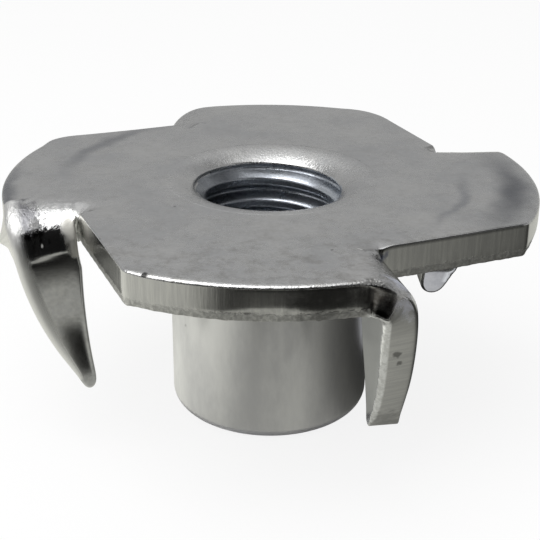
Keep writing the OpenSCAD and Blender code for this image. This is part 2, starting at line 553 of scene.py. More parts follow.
# Depths of the rings over the start of the rounded entry, close together where it is flat
lip_depths = [0.0, 0.0004, 0.002, 0.006, 0.014, 0.027, 0.045, 0.068, 0.094]
for z in height - np.array(lip_depths):
    lip_rows.append(level_ring(float(rounded_entry(np.array(z))), z))
outside_rows = [level_ring(minor_r + exit_chamfer - z, z) for z in (0.09, 0.04)]
outside_rows.append(level_ring(minor_r + exit_chamfer, 0.0))
for radius in np.linspace(minor_r + exit_chamfer, barrel_r - end_round, 4)[1:]:
    outside_rows.append(level_ring(radius, 0.0))
for turn in np.linspace(0, 90, 10)[1:]:
    turn = math.radians(turn)
    radius = barrel_r - end_round + end_round * math.sin(turn)
    outside_rows.append(level_ring(radius, end_round - end_round * math.cos(turn)))
for z in np.linspace(end_round, seat_z - neck_round, 36)[1:]:
    outside_rows.append(level_ring(barrel_r, z))
for turn in np.linspace(0, 90, 8)[1:]:
    turn = math.radians(turn)
    radius = barrel_r + neck_round - neck_round * math.cos(turn)
    outside_rows.append(level_ring(radius, seat_z - neck_round + neck_round * math.sin(turn)))
outside_rows.append(level_ring(hub_r, seat_z))
print("barrel:", len(lip_rows) + len(outside_rows), "level rows")

# %% [markdown]
# ## Put the blank together
#
# All the points go into one list, still flat: the edge profile, the two broad faces and
# the barrel's rings. Faces join them, and each face notes what it is, so that the rolled
# skin, the sheared walls, the barrel and the thread can have finishes of their own.
#
# Several objects that only touch would be simpler, but a gap or an overlap would show at
# each join. Here neighbouring parts share their end points, so the nut is one closed skin.

# %% One list of points and one of faces
SKIN, SHEARED, BARREL, THREAD = range(4)
points = []
faces = []
face_part = []


def add_points(new):
    """Add rows of points and return the number of the first"""
    first = sum(len(p) for p in points)
    points.append(np.asarray(new, float))
    return first


def add_faces(new, part):
    """Add faces and note which part of the nut they belong to"""
    faces.extend(new)
    face_part.extend([part] * len(new))


def join_rings(first_a, first_b, size, part):
    """Quads between two closed rings of the same number of points"""
    new = []
    for i in range(size):
        j = (i + 1) % size
        new.append((first_a + i, first_b + i, first_b + j, first_a + j))
    add_faces(new, part)


def join_climbing(first_a, first_b, size, turn_up, highest, part):
    """Quads between two climbing rows: after a full turn a row meets the one a turn above it"""
    new = []
    for i in range(size):
        if i < size - 1:
            new.append((first_a + i, first_b + i, first_b + i + 1, first_a + i + 1))
        elif first_a - turn_up >= highest and first_b - turn_up >= highest:
            new.append((first_a + i, first_b + i, first_b - turn_up, first_a - turn_up))
    add_faces(new, part)


print("kinds of face:", THREAD + 1)

# %% Fill the lists
ring_first = []
for row in range(ring_count):
    xy = loop_xy - outward * ring_inset[row][:, None]
    ring_first.append(add_points(np.column_stack([xy, ring_z[row]])))
for row in range(ring_count - 1):
    part = SKIN if row < roll_steps or row >= ring_count - 3 else SHEARED
    join_rings(ring_first[row], ring_first[row + 1], count, part)
lip_first = [add_points(r) for r in lip_rows]
for a, b in zip(lip_first, lip_first[1:]):
    join_rings(a, b, hub_steps, SKIN)
bore_first = [add_points(r) for r in bore_rows]
points_per_turn = int(round(pitch / thread_row)) * hub_steps
for a, b in zip(bore_first, bore_first[1:]):
    join_climbing(a, b, hub_steps, points_per_turn, bore_first[0], THREAD)
join_rings(lip_first[-1], bore_first[0], hub_steps, SKIN)
out_first = [add_points(r) for r in outside_rows]
join_rings(bore_first[-1], out_first[0], hub_steps, THREAD)
for a, b in zip(out_first, out_first[1:]):
    join_rings(a, b, hub_steps, BARREL)
filling = flat[count + hub_steps:]
inner_first = add_points(np.column_stack([filling, np.full(len(filling), height)]))
under_first = add_points(np.column_stack([filling, np.full(len(filling), seat_z)]))
# The flat mesh counts its points on its own; these give their places in the long list
top_of = np.concatenate([
    ring_first[0] + np.arange(count),
    lip_first[0] + np.arange(hub_steps),
    inner_first + np.arange(len(filling)),
])
under_of = np.concatenate([
    ring_first[-1] + np.arange(count),
    out_first[-1] + np.arange(hub_steps),
    under_first + np.arange(len(filling)),
])
add_faces([tuple(f) for f in top_of[flat_faces].tolist()], SKIN)
add_faces([tuple(f[::-1]) for f in under_of[flat_faces].tolist()], SKIN)
points = np.concatenate(points)
# The rounded entry above the thread has the finish of the skin
entry_low = height - 0.45
for i, face in enumerate(faces):
    if face_part[i] == THREAD and points[list(face), 2].min() > entry_low:
        face_part[i] = SKIN
print("blank:", len(points), "points,", len(faces), "faces")

# %% [markdown]
# ## Fold the prongs
#
# A bend keeps the length of the sheet's middle layer. So a point past the root line is
# carried round the bend's axis by its own distance from that line, and past the bend it
# goes on in a straight leg. The metal on the inside of a bend is squeezed and swells out
# at the sheet's edges, and the metal on the outside is drawn in. The fold also drags the
# lobe beside it down a little, and may leave a web of metal in the corner between them.
#
# Blender's Simple Deform modifier bends a whole object about one line. This sheet bends
# about four lines, and most of it stays flat, so a formula moves each prong's own points.

# %% Marks that the finishes read later
def marked(rows, where, value=1):
    """A number for every point: the value where some rows of the edge profile say so, else 0"""
    result = np.zeros(len(points))
    for row in rows:
        result[ring_first[row] + np.flatnonzero(where)] = value
    return result


blank = points.copy()
owner = prong_share(points[:, 0], points[:, 1])
left_outer = (loop_kind == OUTER) & (loop_quarter == 3)
# The foot rows of the prongs' outer edges get a painted near-white highlight
burr_highlight_rows = marked(range(ring_count - 6, ring_count - 1), loop_kind == OUTER)
# Painted shade: a dark line along the lower roll-over of the right lobe's cut
roll_shade_line = marked(range(5, roll_steps + 2), (loop_kind == CUT) & (loop_quarter == 0))
# The left prong's outer edge is dulled, and it also gets a painted highlight
dull_highlight_rows = marked([0], left_outer, 0.35) + marked(range(1, roll_steps + 2), left_outer)
# The front prong's underside near the seat is part of that painted highlight
underside_highlight = np.where((owner == 0) & (points[:, 2] < seat_z + 0.02), 1.0, 0.0)
rubbed = np.zeros(len(points))
# The plate crazes where the metal under it is stretched: the rim's roll-over and the bore's entry
stretched_skin = marked(range(1, roll_steps + 1), loop_kind == RIM, 1.2)
from_axis = np.hypot(points[:, 0], points[:, 1])
stretched_skin[(from_axis < entry_r) & (points[:, 2] > height - 0.6)] = 1.3
print("marks: burr on", int(burr_highlight_rows.sum()), "points, soot on", int(roll_shade_line.sum()))

# %% Shape a prong's sheet while it is still flat
tip_zone = 1.2
thin_zone = 3.0
thinned = 0.11
bevel_reach = 0.55
swell_reach = 0.35
swell_lead = 0.35
swell_run = 1.1


def shaped_sheet(prong, along, y, z, mine):
    """Where the points lie once the prong's tip, thickness, bevel and swell are shaped"""
    bend_l = bend_length(prong)
    # The tip is a little longer on one side of the sheet
    towards_tip = np.clip((along - bend_l - prong["leg"] + tip_zone) / tip_zone, 0, 1) ** 2
    along = along + np.where(mine, prong["slant"] * towards_tip * ((z - seat_z) / sheet_t - 0.5), 0)
    # The sheet is drawn thinner towards the tip, from its inner side
    taper = np.clip((along - bend_l - prong["leg"] + thin_zone) / thin_zone, 0, 1)
    z = np.where(mine, z + thinned * taper * (height - z) / sheet_t, z)
    # The inner edge is bevelled on the lower half of the prong
    from_inner = np.clip(-y - inner_edge(prong, along), 0, bevel_reach) / bevel_reach
    lower = np.clip((along - bend_l - 1.5) / 0.9, 0, 1)
    lower = lower * np.clip((bend_l + prong["leg"] - along) / 0.9, 0, 1)
    skin_share = np.clip((z - seat_z) / sheet_t, 0, 1) ** 2
    z = np.where(mine, z - prong["bevel"] * (1 - from_inner) ** 2 * lower * skin_share, z)
    # The metal squeezed on the inside of the bend stands out at the rim
    swell_share = np.clip((along + swell_lead) / (bend_l + swell_run), 0, 1)
    bell = np.sin(swell_share * math.pi) ** 1.5
    depth = np.clip((height - z) / sheet_t, 0, 1)
    by_rim = np.exp(-np.clip(flange_r - 0.16 + y, 0, None) / swell_reach) * (y < -root_reach)
    y = y - prong["swell"] * (depth - 0.25) * bell * by_rim
    return along, y, z


print("flat shaping: tips are", thinned, "mm thinner")

# %% Bend a prong, and drag the lobe beside it
drag_reach = 0.28
drag_fade = 0.5
web_reach = 0.35
twist_at = 7.26
twist_run = 0.68


def round_the_bend(along, z, angle):
    """Where the bend carries a point: its distance from the root and its height"""
    turn = np.clip(along / neutral_r, 0, angle)
    leg = np.clip(along - neutral_r * angle, 0, None)
    radius = bend_round + z - seat_z
    new_along = radius * np.sin(turn) + leg * math.cos(angle)
    new_z = bend_axis_z + radius * np.cos(turn) - leg * math.sin(angle)
    return new_along + np.minimum(along, 0), new_z


def dragged_lobe(prong, along, y):
    """The points beside the root, how much of the bend they follow, and how that fades"""
    near = (along > 0) & (along < 2) & (np.abs(y + root_reach) < 3)
    beside = (owner < 0) & near & (y > -root_reach - slit)
    fade = 1 - smooth(np.clip((along - lance_start) / drag_fade, 0, 1))
    by_the_cut = np.exp(-(np.clip(y + root_reach, 0, None) / drag_reach) ** 1.3)
    return beside, prong["drag"] * np.where(beside, by_the_cut * fade, 0), fade


def folded(prong, along, y, z, outwards, web):
    """Where the bend, its rounder outer side, its web and its twist carry the prong's points"""
    angle = math.radians(prong["angle"])
    bend_l = bend_length(prong)
    bent_along, bent_z = round_the_bend(along, z, angle)
    bend_share = np.clip((along + 0.3) / (bend_l + 0.7), 0, 1)
    eased = prong["ease"] * outwards * np.sin(bend_share * math.pi) ** 2
    part_turn = np.clip(along / neutral_r, 0, angle)
    bent_along = bent_along + (web - eased) * np.sin(part_turn)
    bent_z = bent_z + (web - eased) * np.cos(part_turn)
    twist = math.radians(prong["twist"]) * smooth(np.clip(along / (twist_run * bend_l), 0, 1))
    from_x, from_y = bent_along - neutral_r, y + twist_at
    twisted_y = from_x * np.sin(twist) + from_y * np.cos(twist) - twist_at
    twisted_along = neutral_r + from_x * np.cos(twist) - from_y * np.sin(twist)
    return twisted_along, twisted_y, bent_z


print("bending helpers ready for", len(prongs), "prongs")

# %% Fold the four prongs
side_lift = 0.06
web_run = 1.3
polish_at = 7.3
polish_reach = 1.6
for index, prong in enumerate(prongs):
    x, y = turned(points[:, 0], points[:, 1], 4 - index)
    mine = owner == index
    angle = math.radians(prong["angle"])
    bend_l = bend_length(prong)
    along, y, z = shaped_sheet(prong, x - root_offset, y, points[:, 2], mine)
    outwards = np.clip((-y - root_reach) / (flange_r - root_reach), 0, 1)
    # A web of metal fills the corner between the bend and the lobe beside it
    web_share = np.sin(np.clip(along / web_run, 0, 1) * math.pi) ** 2
    web = prong["web"] * np.exp(-np.abs(y + root_reach) / web_reach) * web_share
    # The lobe follows the bend as far as the lance's start
    beside, drag, fade = dragged_lobe(prong, along, y)
    held = np.minimum(along, lance_start)
    held_along, held_z = round_the_bend(held, z, angle)
    full_along, twisted_y, full_z = folded(prong, along, y, z, outwards, web)
    y = np.where(mine, twisted_y, y)
    # The bending tool polishes the sheet from a little before the root on
    near_root = (np.abs(y + polish_at) < polish_reach) & (along > -1)
    polish = np.clip((along + 0.4) / 0.6, 0, 1) * mine
    rubbed = np.where(near_root, np.maximum(rubbed, polish), rubbed)
    bend_middle = np.clip((along + 0.15) / 0.3, 0, 1) * np.clip((0.75 * bend_l - along) / 0.4, 0, 1)
    crazing = bend_middle * (0.6 + 3.0 * outwards ** 0.7)
    stretched_skin = np.where(near_root & mine, crazing, stretched_skin)
    new_along = np.where(mine, full_along, along + drag * (held_along - held))
    new_z = np.where(mine, full_z, z + drag * (held_z - z) + np.where(beside, web * fade, 0))
    new_x, new_y = turned(root_offset + new_along, y, index)
    points = np.stack([new_x, new_y, new_z], axis=1)
# The two side lobes stand a hair higher than the middle
lift = np.where(points[:, 0] < 0, side_lift, 0.4 * side_lift)
points[:, 2] += lift * np.clip((np.abs(points[:, 0]) - 3.9) / 4.0, 0, 1) ** 1.5
print("folded:", int((owner >= 0).sum()), "points on", len(prongs), "prongs")

# %% [markdown]
# ## Build the mesh
#
# The points and faces become one Blender mesh. Points that lie on each other are merged,
# which closes the climbing rows of the thread where they were cut off level. The flat
# blank's places and the marks are stored on the points, so that the materials can read them.

# %% Make the object
mesh = bpy.data.meshes.new("tee_nut_steel")
mesh.from_pydata((points * MM).tolist(), [], faces)
mesh.polygons.foreach_set("material_index", np.array(face_part, np.int32))
blank_place = mesh.attributes.new("blank", "FLOAT_VECTOR", "POINT")
blank_place.data.foreach_set("vector", blank.ravel())
marks = {
    "crazed": stretched_skin,
    "dull_and_highlight": dull_highlight_rows,
    "polish": rubbed,
    "roll_shade": roll_shade_line,
    "burr_highlight": np.maximum(burr_highlight_rows, 0.8 * underside_highlight),
    "torn": np.where(owner < 0, 1.0, 0.0),
}
for label, values in marks.items():
    mesh.attributes.new(label, "FLOAT", "POINT").data.foreach_set("value", values)
mesh.update()
nut = bpy.data.objects.new("tee_nut_steel", mesh)
bpy.context.scene.collection.objects.link(nut)
print("mesh:", len(mesh.vertices), "points and", len(marks), "marks")

# %% Merge the points that lie on each other
work = bmesh.new()
work.from_mesh(mesh)
bmesh.ops.remove_doubles(work, verts=work.verts, dist=1e-4 * MM)
bmesh.ops.dissolve_degenerate(work, edges=work.edges, dist=1e-5 * MM)
bmesh.ops.recalc_face_normals(work, faces=work.faces)
open_edges = [e for e in work.edges if len(e.link_faces) != 2]
work.to_mesh(mesh)
work.free()
mesh.shade_smooth()
triangles = sum(len(p.vertices) - 2 for p in mesh.polygons)
print("nut:", len(mesh.vertices), "points,", triangles, "triangles,", len(open_edges), "open edges")

# %% [markdown]
# ## Zinc plate, and the nodes that paint it
#
# The whole nut has one coat of bright zinc, but the metal beneath gives each surface its own finish: rolled
# sheet is smooth and a little mottled, sheared walls carry the marks of the punch, the barrel shows the
# draw, and the thread is darker and bluer.
#
# One material with masks could hold all four, but it would be hard to read and to change.
# So there are four metals, each with a Principled shader. What varies over them comes from
# shader node groups, so each finish can use the same clouds, pits, lines and stains with
# numbers of its own. Textures are read where the sheet was still flat, so the marks follow
# the prongs round their bends, as they do on a real nut.

# %% Helpers for shader nodes
def add_node(tree, kind, **values):
    """Add a shader node and set some of its inputs"""
    made = tree.nodes.new("ShaderNode" + kind)
    for label, value in values.items():
        made.inputs[label].default_value = value
    return made


def feed(tree, source, target):
    """Link a socket to an input, or set the input to a plain value"""
    if isinstance(source, bpy.types.NodeSocket):
        tree.links.new(source, target)
    else:
        target.default_value = source


def reckon(tree, operation, a, b=0.0):
    """A sum, product or other result of one or two values"""
    made = tree.nodes.new("ShaderNodeMath")
    made.operation = operation
    feed(tree, a, made.inputs[0])
    feed(tree, b, made.inputs[1])
    return made.outputs[0]


def ramp(tree, value, low, high, to_low=0.0, to_high=1.0):
    """A smooth step: to_low up to the value low, and to_high from the value high on"""
    made = tree.nodes.new("ShaderNodeMapRange")
    made.interpolation_type = "SMOOTHSTEP"
    feed(tree, value, made.inputs["Value"])
    feed(tree, low, made.inputs["From Min"])
    feed(tree, high, made.inputs["From Max"])
    made.inputs["To Min"].default_value = to_low
    made.inputs["To Max"].default_value = to_high
    return made.outputs["Result"]


def stretched(tree, position, factors):
    """A position with its x, y and z multiplied"""
    made = tree.nodes.new("ShaderNodeVectorMath")
    made.operation = "MULTIPLY"
    tree.links.new(position, made.inputs[0])
    made.inputs[1].default_value = factors
    return made.outputs[0]


def axes_of(tree, position):
    """The x, y and z of a position, each by itself"""
    made = tree.nodes.new("ShaderNodeSeparateXYZ")
    tree.links.new(position, made.inputs[0])
    return made.outputs


def stored(tree, label):
    """A mark that the mesh keeps on its points"""
    made = tree.nodes.new("ShaderNodeAttribute")
    made.attribute_name = label
    return made.outputs["Fac"]


def clouds(tree, position, scale, detail=3.0, rough=0.5):
    """A noise texture's value"""
    made = add_node(tree, "TexNoise", Detail=detail, Roughness=rough)
    tree.links.new(position, made.inputs["Vector"])
    feed(tree, scale, made.inputs["Scale"])
    return made.outputs["Fac"]


def new_group(name, inputs, outputs):
    """An empty shader node group with named float inputs, a Position input and float outputs"""
    tree = bpy.data.node_groups.new(name, "ShaderNodeTree")
    tree.interface.new_socket("Position", in_out="INPUT", socket_type="NodeSocketVector")
    for label, value in inputs.items():
        socket = tree.interface.new_socket(label, in_out="INPUT", socket_type="NodeSocketFloat")
        socket.default_value = value
    for label in outputs:
        tree.interface.new_socket(label, in_out="OUTPUT", socket_type="NodeSocketFloat")
    return tree, tree.nodes.new("NodeGroupInput").outputs, tree.nodes.new("NodeGroupOutput").inputs


def use_group(tree, group, position, **values):
    """Place a group in a material with its own values"""
    made = tree.nodes.new("ShaderNodeGroup")
    made.node_tree = group
    tree.links.new(position, made.inputs["Position"])
    for label, value in values.items():
        made.inputs[label].default_value = value
    return made.outputs


print("node helpers ready, in Blender", bpy.app.version_string)

# %% [markdown]
# ## Patterns that the finishes share
#
# Six patterns are built once, each as a node group with named inputs: cloudy plate, pits, punch lines, the
# torn zone, a dark arc and a spot. Copying their nodes into every material would work too, but each later
# change would have to be made four times. A group gives out only a mask or a shade, and each finish decides
# what that does to its colour, its roughness or its bumps.

# %% Group: cloudy plate
cloudy, given, wanted = new_group("cloudy_plate", {"Scale": 1.0, "Fine share": 0.3}, ["Shade"])
broad = clouds(cloudy, given["Position"], given["Scale"], 3.0, 0.55)
fine_scale = reckon(cloudy, "MULTIPLY", given["Scale"], 11.0)
fine_part = clouds(cloudy, given["Position"], fine_scale, 2.0, 0.6)
mixed = add_node(cloudy, "Mix")
cloudy.links.new(given["Fine share"], mixed.inputs["Factor"])
cloudy.links.new(broad, mixed.inputs["A"])
cloudy.links.new(fine_part, mixed.inputs["B"])
cloudy.links.new(ramp(cloudy, mixed.outputs["Result"], 0.3, 0.7), wanted["Shade"])
print("group:", cloudy.name)

# %% Group: pits, small dark holes that are left in a few cells of a pattern
pits, given, wanted = new_group("pits", {"Scale": 3.0, "Share": 0.1, "Size": 0.2}, ["Mask"])
cells = add_node(pits, "TexVoronoi")
uneven = add_node(pits, "TexNoise", Scale=9.0, Detail=2.0)
pits.links.new(given["Position"], uneven.inputs["Vector"])
# The noise shifts the place a little, so that no pit is quite round
shifted = pits.nodes.new("ShaderNodeVectorMath")
shifted.operation = "MULTIPLY_ADD"
pits.links.new(uneven.outputs["Color"], shifted.inputs[0])
shifted.inputs[1].default_value = (0.12, 0.12, 0.12)
pits.links.new(given["Position"], shifted.inputs[2])
pits.links.new(shifted.outputs[0], cells.inputs["Vector"])
pits.links.new(given["Scale"], cells.inputs["Scale"])
chance = pits.nodes.new("ShaderNodeSeparateColor")
pits.links.new(cells.outputs["Color"], chance.inputs["Color"])
chosen = reckon(pits, "LESS_THAN", chance.outputs["Red"], given["Share"])
reach = reckon(pits, "MULTIPLY", given["Size"], 0.5)
hole = reckon(pits, "SUBTRACT", 1.0, ramp(pits, cells.outputs["Distance"], reach, given["Size"]))
pits.links.new(reckon(pits, "MULTIPLY", chosen, hole), wanted["Mask"])
print("group:", pits.name)

# %% Group: punch lines, which run straight through the sheet
lines, given, wanted = new_group("punch_lines", {"Scale": 10.0}, ["Shade"])
squashed = stretched(lines, given["Position"], (1, 1, 0.06))
scratches = clouds(lines, squashed, given["Scale"], 4.0, 0.65)
lines.links.new(ramp(lines, scratches, 0.32, 0.68), wanted["Shade"])
print("group:", lines.name)

# %% Group: the torn zone at the foot of a sheared wall
torn_zone, given, wanted = new_group("torn_zone", {"Line": 0.36}, ["Mask", "Grit"])
above_seat = reckon(torn_zone, "SUBTRACT", axes_of(torn_zone, given["Position"])["Z"], seat_z)
up_the_wall = reckon(torn_zone, "DIVIDE", above_seat, sheet_t)
ragged = clouds(torn_zone, given["Position"], 4.5, 3.0, 0.6)
edge_line = reckon(torn_zone, "ADD", given["Line"], reckon(torn_zone, "MULTIPLY", ragged, 0.3))
edge_line = reckon(torn_zone, "SUBTRACT", edge_line, 0.15)
below = reckon(torn_zone, "SUBTRACT", edge_line, up_the_wall)
torn_zone.links.new(ramp(torn_zone, below, -0.04, 0.05), wanted["Mask"])
torn_zone.links.new(clouds(torn_zone, given["Position"], 9.0, 4.0, 0.7), wanted["Grit"])
print("group:", torn_zone.name)

# %% Group: dark arc, a soft arc round the nut's axis
dark_arc, given, wanted = new_group("dark_arc_ring", {
    "Radius": 7.0, "Width": 0.3, "Middle": 0.0, "Half turn": 0.5}, ["Mask"])
flat_x, flat_y = list(axes_of(dark_arc, given["Position"]))[:2]
wobble = reckon(dark_arc, "SUBTRACT", clouds(dark_arc, given["Position"], 0.9, 2.0, 0.5), 0.5)
squares = reckon(dark_arc, "ADD", reckon(dark_arc, "POWER", flat_x, 2.0), reckon(dark_arc, "POWER", flat_y, 2.0))
away = reckon(dark_arc, "SUBTRACT", reckon(dark_arc, "SQRT", squares), given["Radius"])
away = reckon(dark_arc, "ADD", away, reckon(dark_arc, "MULTIPLY", wobble, 0.6))
across = ramp(dark_arc, reckon(dark_arc, "ABSOLUTE", away), given["Width"], 0.0)
turn_here = reckon(dark_arc, "ARCTAN2", flat_y, flat_x)
turn_away = reckon(dark_arc, "SUBTRACT", turn_here, given["Middle"])
turn_away = reckon(dark_arc, "PINGPONG", reckon(dark_arc, "ABSOLUTE", turn_away), math.pi)
round_it = ramp(dark_arc, turn_away, given["Half turn"], 0.0)
dark_arc.links.new(reckon(dark_arc, "MULTIPLY", across, round_it), wanted["Mask"])
print("group:", dark_arc.name)

# %% Group: spot, a ragged patch round one place, for stains and for painted shade and highlights
spot, given, wanted = new_group("spot", {
    "X": 0.0, "Y": 0.0, "Z": 7.4, "Radius": 0.1, "Soft": 0.5, "Scale": 4.0, "Ragged": 1.6}, ["Mask"])
centre = spot.nodes.new("ShaderNodeCombineXYZ")
for axis in "XYZ":
    spot.links.new(given[axis], centre.inputs[axis])
apart = spot.nodes.new("ShaderNodeVectorMath")
apart.operation = "DISTANCE"
spot.links.new(given["Position"], apart.inputs[0])
spot.links.new(centre.outputs[0], apart.inputs[1])
uneven = reckon(spot, "SUBTRACT", clouds(spot, given["Position"], given["Scale"], 3.0, 0.6), 0.5)
uneven = reckon(spot, "MULTIPLY", uneven, reckon(spot, "MULTIPLY", given["Radius"], given["Ragged"]))
ragged_away = reckon(spot, "ADD", apart.outputs["Value"], uneven)
core = reckon(spot, "MULTIPLY", given["Radius"], reckon(spot, "SUBTRACT", 1.0, given["Soft"]))
spot.links.new(reckon(spot, "SUBTRACT", 1.0, ramp(spot, ragged_away, core, given["Radius"])), wanted["Mask"])
print("group:", spot.name)

# %% [markdown]
# ## The finishes have one plan
#
# Every finish mixes a darker and a lighter zinc by a shade between 0 and 1, darkens it in its pits and
# stains, paints shade and highlights into it in a few places, and drives the roughness and a bump from the
# same patterns. The bump's depth is a few thousandths of a millimetre. A stain could be painted by hand on a
# texture, but a ragged spot round a place on the flat blank needs no picture, and it can be moved by
# changing three numbers.

# %% Helpers that make a finish
def finish(name, dark, light):
    """A metal material, its tree, its shader and the place on the flat blank"""
    made = bpy.data.materials.new(name)
    made.use_nodes = True
    tree = made.node_tree
    shader = tree.nodes["Principled BSDF"]
    shader.inputs["Metallic"].default_value = 1.0
    place = tree.nodes.new("ShaderNodeAttribute")
    place.attribute_name = "blank"
    tint = add_node(tree, "Mix")
    tint.data_type = "RGBA"
    tint.inputs["A"].default_value = (*dark, 1)
    tint.inputs["B"].default_value = (*light, 1)
    return made, tree, shader, place.outputs["Vector"], tint


def darken(tree, colour, mask, strength, tint=(0, 0, 0)):
    """A colour times one less the mask; a tint keeps some of the red, green or blue"""
    made = add_node(tree, "Mix")
    made.data_type = "RGBA"
    made.blend_type = "MULTIPLY"
    made.inputs["B"].default_value = (*[1 - strength + kept for kept in tint], 1)
    tree.links.new(mask, made.inputs["Factor"])
    tree.links.new(colour, made.inputs["A"])
    return made.outputs["Result"]


def repaint(tree, colour, mask, new_colour):
    """A colour that turns into another where the mask is 1"""
    made = add_node(tree, "Mix")
    made.data_type = "RGBA"
    tree.links.new(mask, made.inputs["Factor"])
    tree.links.new(colour, made.inputs["A"])
    made.inputs["B"].default_value = (*new_colour, 1)
    return made.outputs["Result"]


def spot_mask(tree, place, where, radius, soft, **values):
    """The mask of a ragged spot round a point of the flat blank"""
    x, y, z = where
    return use_group(tree, spot, place, X=x, Y=y, Z=z, Radius=radius, Soft=soft, **values)["Mask"]


def bump(tree, height_value, depth_mm, before=None):
    """A Bump node of a depth in millimetres"""
    made = add_node(tree, "Bump", Strength=1.0, Distance=depth_mm * MM)
    tree.links.new(height_value, made.inputs["Height"])
    if before is not None:
        tree.links.new(before, made.inputs["Normal"])
    return made.outputs["Normal"]


print("finish helpers ready; a stain takes its place from the", spot.name, "group")

# %% [markdown]
# ## Rolled skin
#
# The broad faces are the sheet's own skin under bright zinc. On a real nut it is satin and a little mottled,
# with soft dark arcs round the axis and a nick. Painted shade, painted highlights and painted reflections
# are laid on the left bend, the front right corner and the edges. Where the sheet is stretched, its plate
# crazes into fine bumps, and where the bending tool slid it is polished. An even metal would look like
# plastic foil, so each of these marks is laid over the base in turn.

# %% Base of the skin: clouds, pits and soft dark arcs
skin, tree, shader, place, tint = finish("zinc_skin", (0.52, 0.525, 0.53), (0.66, 0.66, 0.65))
shade = use_group(tree, cloudy, place, Scale=0.55, **{"Fine share": 0.35})["Shade"]
tree.links.new(shade, tint.inputs["Factor"])
holes = use_group(tree, pits, place, Scale=2.2, Share=0.06, Size=0.12)["Mask"]
coloured = darken(tree, tint.outputs["Result"], holes, 0.55)
# Each ring: radius, width, middle and half turn in degrees, and how much darker it is
rings = [
    (7.7, 0.85, -17, 38, 0.68),
    (6.2, 0.3, -28, 30, 0.33),
    (6.7, 0.45, 142, 40, 0.42),
    (8.3, 0.4, 186, 26, 0.55),
]
ring_tint = (0.0, 0.01, 0.04)
for ring_r, ring_width, middle, half_turn, depth in rings:
    mark = use_group(
        tree, dark_arc, place, Radius=ring_r, Width=ring_width,
        Middle=math.radians(middle), **{"Half turn": math.radians(half_turn)})["Mask"]
    coloured = darken(tree, coloured, mark, depth, ring_tint)
# The plate is mottled, most of all towards the front
mottled = ramp(tree, clouds(tree, place, 2.0, 4.0, 0.75), 0.42, 0.72)
to_the_front = ramp(tree, axes_of(tree, place)["Y"], -7.5, -3.0, 1.0, 0.3)
coloured = darken(tree, coloured, reckon(tree, "MULTIPLY", mottled, to_the_front), 0.3, (0.03, 0.02, 0.0))
print("skin:", len(rings), "arcs of the press tool")

# %% A nick on the skin, and painted light: shade and patches on the left bend, highlights on a corner, the left edge and the burr, and a shade line on a cut
nick = spot_mask(tree, place, (-4.34, -7.28, 7.86), 0.16, 0.5)
coloured = darken(tree, coloured, nick, 0.9)
# Painted shade on the rim side of the left bend, which darkens its highlight there
for bend_shade_x, bend_shade_r in ((-8.05, 0.45), (-7.45, 0.42)):
    bend_shade = spot_mask(tree, place, (bend_shade_x, -2.16, 7.88), bend_shade_r, 0.6, Scale=7.0, Ragged=3.2)
    coloured = darken(tree, coloured, bend_shade, 0.82)
# Patches on the left bend that paint its reflections: light dulled ones by the inner edge stand in for a
# beige reflection, a dark one paints shade over the highlight towards the rim, and there is a small light
# fleck. Each has x, y, radius, dullness, raggedness and colour
bend_patches = [
    (-6.35, -2.30, 0.50, 0.55, 0.7, (0.58, 0.57, 0.53)),
    (-6.30, -2.65, 0.36, 0.50, 0.7, (0.56, 0.55, 0.51)),
    (-7.80, -1.86, 0.62, 0.36, 1.6, (0.22, 0.22, 0.23)),
    (-7.28, -2.56, 0.08, 0.60, 1.0, (0.70, 0.70, 0.68)),
]
dull_marks = []
for patch_x, patch_y, patch_r, dullness, ragged_edge, patch_colour in bend_patches:
    mark = spot_mask(tree, place, (patch_x, patch_y, 7.9), patch_r, 0.7, Ragged=ragged_edge)
    coloured = repaint(tree, coloured, mark, patch_colour)
    dull_marks.append(reckon(tree, "MULTIPLY", mark, dullness))
# Painted highlights: a bluish-white one on the front right bend's outer corner, which is made rougher too,
# and a light one on the left prong's outer edge, which is dull as well
corner_highlight = spot_mask(tree, place, (2.10, -8.0, 7.88), 0.42, 0.8)
coloured = repaint(tree, coloured, corner_highlight, (0.80, 0.82, 0.92))
dull_marks.append(reckon(tree, "MULTIPLY", corner_highlight, 0.5))
dull_highlight_edge = stored(tree, "dull_and_highlight")
coloured = repaint(tree, coloured, dull_highlight_edge, (0.72, 0.72, 0.71))
dull_marks.append(reckon(tree, "MULTIPLY", dull_highlight_edge, 0.45))
# Painted near-white highlight on the burr rows and the front prong's underside
coloured = repaint(tree, coloured, stored(tree, "burr_highlight"), (0.90, 0.92, 0.91))
# Painted shade line along the lower roll-over of the right lobe's cut
coloured = darken(tree, coloured, stored(tree, "roll_shade"), 0.75)
tree.links.new(coloured, shader.inputs["Base Color"])
print("skin:", len(bend_patches), "bend_patches")

# %% Gloss and bumps of the skin
flat_rough = ramp(tree, shade, 0.0, 1.0, 0.30, 0.23)
polished_by = ramp(tree, stored(tree, "polish"), 0.0, 1.0, 1.0, 0.36)
dulled = reckon(tree, "MULTIPLY", flat_rough, polished_by)
for mark in dull_marks:
    dulled = reckon(tree, "MAXIMUM", dulled, mark)
tree.links.new(dulled, shader.inputs["Roughness"])
calm = reckon(tree, "POWER", polished_by, 2.5)
grain = reckon(tree, "MULTIPLY", clouds(tree, place, 7.0, 3.0, 0.6), calm)
waves = clouds(tree, place, 0.45, 2.0, 0.5)
craze = reckon(tree, "MULTIPLY", clouds(tree, place, 10.0, 3.0, 0.7), stored(tree, "crazed"))
grained = bump(tree, craze, 0.012, bump(tree, grain, 0.004))
tree.links.new(bump(tree, reckon(tree, "MULTIPLY", waves, calm), 0.03, grained), shader.inputs["Normal"])
print("finish:", skin.name)

